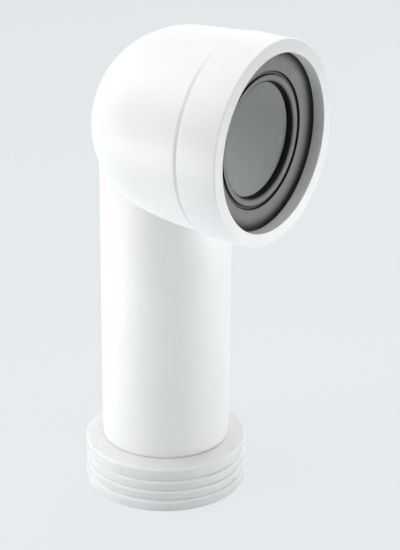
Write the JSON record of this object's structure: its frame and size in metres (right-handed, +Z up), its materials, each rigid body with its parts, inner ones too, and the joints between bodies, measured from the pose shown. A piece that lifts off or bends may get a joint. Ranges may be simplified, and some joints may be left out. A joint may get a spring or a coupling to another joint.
{
  "type": "toilet pan connector",
  "caption": "Right-angle toilet pan connector: domed elbow with a sealed inlet socket for the pan spigot and a straight tail ending in a finned seal for a soil pipe.",
  "frame": {"origin": "on the tail's axis at the bottom of the outlet seal", "axes": "+Z up the tail, +X out of the inlet mouth"},
  "size_m": [0.1445, 0.1376, 0.3388],
  "materials": {
    "white_polypropylene": "satin-gloss moulded white polypropylene",
    "white_polypropylene_cap": "satin moulded white polypropylene",
    "dark_grey_rubber": "smooth dark grey moulded rubber with a grey bloom on its face",
    "white_rubber": "soft white moulded rubber"
  },
  "bodies": {
    "root": {"body": "white_polypropylene", "inlet_retaining_cap": "white_polypropylene_cap", "inlet_seal": "dark_grey_rubber", "outlet_fin_seal": "white_rubber"}
  },
  "joints": []
}
